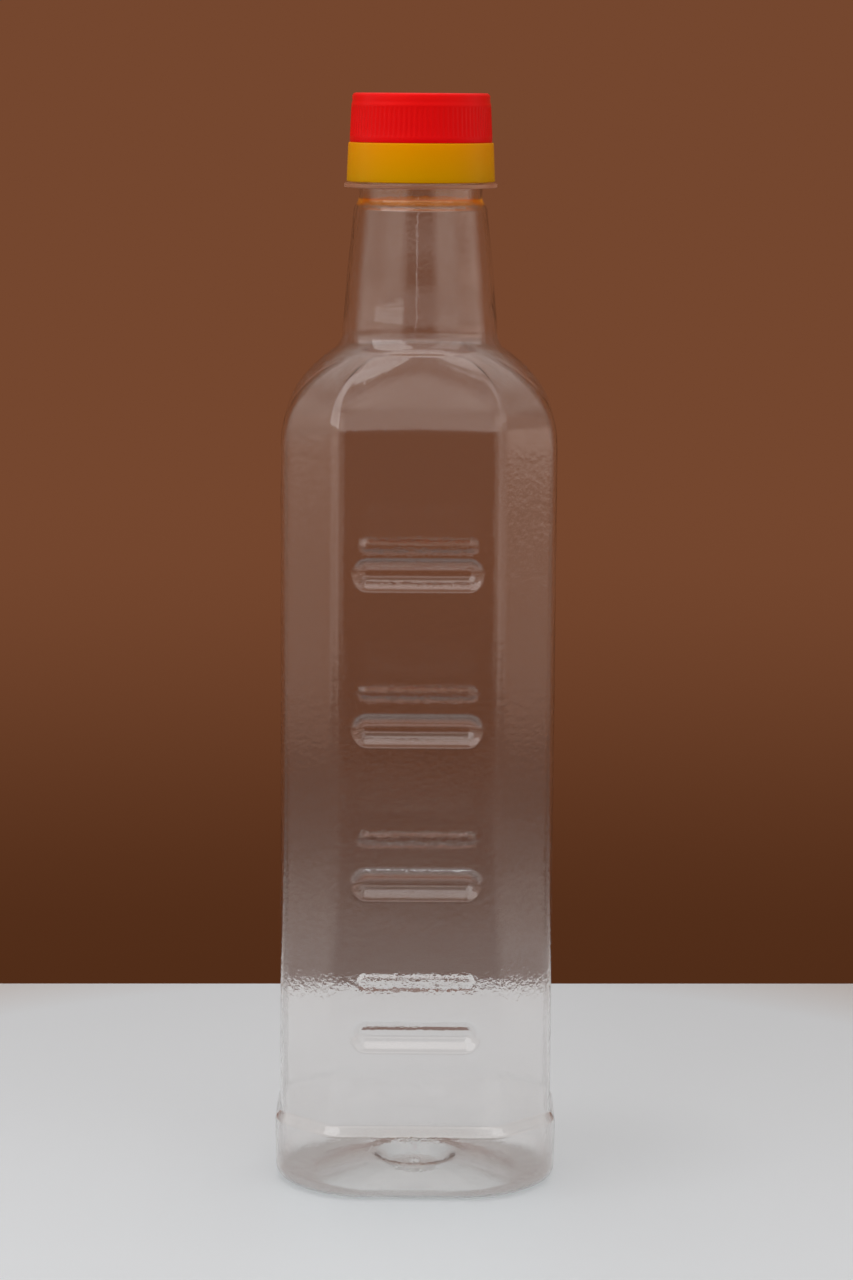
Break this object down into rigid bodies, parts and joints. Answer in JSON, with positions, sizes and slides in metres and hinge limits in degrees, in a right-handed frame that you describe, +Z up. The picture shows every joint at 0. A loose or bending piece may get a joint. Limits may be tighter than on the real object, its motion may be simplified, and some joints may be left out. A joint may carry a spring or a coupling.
{
  "type": "oil bottle",
  "caption": "Empty clear plastic oil bottle with cut corners, pressed grooves across its front and back, a yellow collar and a ribbed red screw lid.",
  "frame": {"origin": "centre of the foot, on the surface that the bottle stands on", "axes": "+Z up along the bottle towards its lid, -Y out of the grooved front panel, +X to the right seen from the front"},
  "size_m": [0.0666, 0.0532, 0.2565],
  "materials": {
    "clear_plastic": "clear, glossy, thin blown wall with a faint ripple",
    "yellow_plastic": "smooth moulded, satin gloss",
    "red_plastic": "moulded, satin gloss, fine vertical ribs"
  },
  "bodies": {
    "root": {"bottle": "clear_plastic", "collar": "yellow_plastic", "lid": "red_plastic"}
  },
  "joints": []
}
